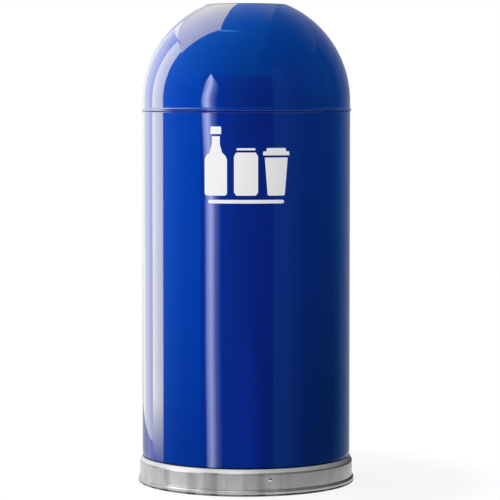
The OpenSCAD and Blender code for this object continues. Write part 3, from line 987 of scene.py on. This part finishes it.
right_near = curtain("right_near_curtain", 29, 63, make_cloth(
    "right_near_cloth", glow=1.0, colour=(0.08, 0.28, 0.62), shade=(0.045, 0.12, 0.09),
    fade=(2.41, 1.75), along="X"))
right_front = curtain("right_front_curtain", 63, 110, make_cloth(
    "right_front_cloth", glow=1.0, colour=(0.03, 0.24, 0.36), shade=(0.03, 0.1, 0.07),
    fade=(0.55, 0.95), along="Z"))
right_curtain = curtain("right_curtain", 110, 180, make_cloth(
    "right_cloth", glow=0.36, colour=(1.0, 1.12, 1.6), shade=(0.02, 0.5, 1.0),
    fade=(1.2, 2.75)))
curtain("rear_curtain", -180, -159, make_cloth(
    "rear_cloth", glow=1.45, colour=(1.0, 0.97, 0.82), shade=(0.38, 0.38, 0.38),
    fade=(-0.25, 0.55), along="Z"))
curtain("rear_left_curtain", -159, -138, make_cloth(
    "rear_left_cloth", glow=0.64, colour=(1.0, 0.95, 0.76)))
front_ceiling = ceiling("front_ceiling", -CURTAIN_R, SPLIT_X, -CURTAIN_R, 0.0, make_cloth(
    "front_ceiling_cloth", glow=NIGHT_GLOW, colour=NIGHT_BLUE))
ceiling("overhead_cloth", -CURTAIN_R, SPLIT_X, 0.0, CURTAIN_R, make_cloth(
    "overhead_cloth", glow=NIGHT_GLOW, colour=(0.82, 1.1, 1.15), shade=NIGHT_BLUE,
    fade=(0.0, 1.15)))
overhead_right = ceiling(
    "overhead_cloth_right", SPLIT_X, CURTAIN_R, -CURTAIN_R, CURTAIN_R, make_cloth(
        "overhead_cloth_right", glow=0.42, colour=(0.72, 1.05, 1.3), shade=NIGHT_BLUE,
        fade=(0.2, 2.2)))
print("curtains and cloths overhead hung")

# %% [markdown]
# ## Bright panels
# Two bright panels make the hard-edged pale band down the drum's left side and
# the patch on the dome, and a sliver beside the upper panel makes the thin
# line that runs on from the patch.

# %% Bright panels
SIDE_PANEL_X = -1.0
TOP_PANEL_Z = 1.92

side_panel = panel(
    "side_panel",
    [(SIDE_PANEL_X, y, z) for y, z in (
        (0.094, -0.12), (0.51, -0.12), (0.51, 1.60), (0.08, 1.475))],
    make_cloth("side_glow", glow=6.8, colour=(1.0, 0.95, 0.58), shade=(0.05, 0.05, 0.05),
               fade=(-0.10, 0.05), along="Z"))
top_panel = panel(
    "top_panel",
    [(x, y, TOP_PANEL_Z) for x, y in (
        (-0.43, -0.13), (-0.262, 0.33), (-0.09, 1.0), (-0.6, 2.3), (-1.2, 2.3),
        (-1.36, 0.60), (-1.62, 0.50), (-1.62, 0.14), (-1.0, -0.02))],
    make_cloth("top_panel_glow", glow=5.4, colour=(1.0, 0.88, 0.40), shade=(0.30, 0.25, 0.10),
               fade=(2.2, 0.2)))
top_lip = panel(
    "top_lip",
    [(x, y, TOP_PANEL_Z) for x, y in (
        (-0.43, -0.13), (-0.25, -0.24), (-0.05, -0.31), (-0.05, -0.34), (-0.26, -0.29),
        (-0.46, -0.17))],
    make_cloth("top_lip_glow", glow=2.4, colour=(0.35, 1.2, 2.2), shade=(0.01, 0.13, 0.2),
               fade=(-0.05, -0.40), along="X"))
print("panels hung:", ", ".join(p.name for p in (side_panel, top_panel, top_lip)))

# %% [markdown]
# ## A flag for the lower right
# The drum's lower right is darker than its upper right. Photographers do that
# with a flag, a black board that keeps stray light off. This one is a low
# arc of black cloth that only the soft, scattered light meets.

# %% Flag
FLAG_HIGH = 0.35
flag = curtain("flag", 35, 140, make_cloth("flag_cloth", glow=0.0), radius=FLOOR_R, low=0.0,
               high=FLAG_HIGH)
flag.visible_diffuse, flag.visible_glossy = True, False
print("flag hung,", FLAG_HIGH, "m high")

# %% [markdown]
# ## The streak
# The thin bright line down the drum's front left is one tall narrow light. It
# has a sharp left side and a long soft right side, which a colour ramp over
# the bearing gives, and a pointed head. It leans here and there on its way
# down, as a light on a stand does, so its bearing shifts a little over four
# stretches of height.

# %% Streak panel
STREAK_LEFT, STREAK_RIGHT = -48.0, -29.5
STREAK_R = 2.16
STREAK_LOW, STREAK_TOP = -0.7, 1.8
# from a height down to a height, and degrees to the right
STREAK_BENDS = ((1.9, 1.4, 2.0), (1.3, 0.74, -2.5), (0.75, 0.45, 4.5), (0.12, -0.26, 1.5))
# places from left to right, and the level there
STREAK_LEVELS = ((0.0, 0.0), (0.17, 0.55), (0.38, 1.0), (0.64, 0.24), (0.86, 0.06), (1.0, 0.0))
STREAK_PEAK = 0.40
STREAK_TIP = 0.06
STREAK_GLOW = (-0.3, 0.9, 6.2, 10.5)  # two heights, and the glow at each
STREAK_COLOUR = (0.92, 1.0, 1.25, 1)


def make_streak_glow():
    """A tall light, brightest left of its middle, whose bearing shifts at each bend."""
    material, tree, shader, place = start_material(
        "streak_glow", Base_Color=(0, 0, 0, 1), Specular_IOR_Level=0.0,
        Emission_Color=STREAK_COLOUR)
    split = node(tree, "SeparateXYZ", {"Vector": place})
    height = split.outputs["Z"]
    bearing = maths(tree, "ARCTAN2", split.outputs["X"], maths(
        tree, "MULTIPLY", split.outputs["Y"], -1.0))
    lean = 0.0
    for start, end, turned in STREAK_BENDS:
        lean = maths(tree, "ADD", lean, remap(
            tree, height, start, end, 0.0, math.radians(turned), soft=True))
    across = remap(tree, maths(tree, "SUBTRACT", bearing, lean),
                   math.radians(STREAK_LEFT), math.radians(STREAK_RIGHT))
    ramp = node(tree, "ValToRGB", {"Fac": across})
    while len(ramp.color_ramp.elements) < len(STREAK_LEVELS):
        ramp.color_ramp.elements.new(0.5)
    for element, (position, level) in zip(ramp.color_ramp.elements, STREAK_LEVELS):
        element.position = position
        element.color = (level, level, level, 1)
    off_peak = maths(tree, "ABSOLUTE", maths(tree, "SUBTRACT", across, STREAK_PEAK))
    crown = remap(tree, maths(tree, "ADD", height, off_peak), STREAK_TOP, STREAK_TOP - STREAK_TIP)
    outline = maths(tree, "MULTIPLY", ramp.outputs["Color"], crown)
    glow = remap(tree, height, *STREAK_GLOW)
    feed(tree, shader, Emission_Strength=maths(tree, "MULTIPLY", outline, glow))
    return material


# the margins leave room for the bends
streak_panel = curtain(
    "streak_panel", STREAK_LEFT - 1, STREAK_RIGHT + 6, make_streak_glow(),
    radius=STREAK_R, low=STREAK_LOW, high=STREAK_TOP)
print("streak panel hung,", len(STREAK_BENDS), "bends")

# %% [markdown]
# ## Which pieces each light serves
# The enamel gets the lamps, cloths and panels that were set for it, and all
# the other pieces get the three plain softboxes. The two curtains at the rear
# left, the cloth overhead at the back, the floor's glow and the background
# serve both.

# %% Light linking
enamelled = (dome, drum, seam)
lamps_for(
    "lit_enamel", enamelled, "INCLUDE", back_side, fill, fill_top, side_panel, top_panel,
    top_lip, streak_panel, left_curtain, left_low, front_curtain, front_low, right_near,
    right_front, right_curtain, front_ceiling, overhead_right)
lamps_for("lit_rest", enamelled, "EXCLUDE", top, zinc_left, zinc_front)
print("lights linked for", len(enamelled), "enamelled pieces and for the rest")

# %% [markdown]
# ## CAD nodes that stay
# A node whose CAD shape is right keeps it and only gets its finish.

# %% Finishes on the CAD nodes
CAD_FINISHES = {
    "base_rivets": RIVET_STEEL, "lug_rivets": RIVET_STEEL,
    "base_hoop": BAND_ZINC, "base_pan": LINER_ZINC, "floor_ring": VINYL,
    "dome_collar": DRUM_ENAMEL,
    "liner_wall": LINER_ZINC, "liner_upper": LINER_ZINC, "liner_bottom": LINER_ZINC,
    "lug_left": LINER_ZINC, "lug_right": LINER_ZINC,
    "rim_wire": WIRE_ZINC, "bail": WIRE_ZINC,
}
for name, material in CAD_FINISHES.items():
    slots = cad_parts[name].data.materials
    for i in range(len(slots)):
        slots[i] = material
print(len(CAD_FINISHES), "CAD nodes finished")
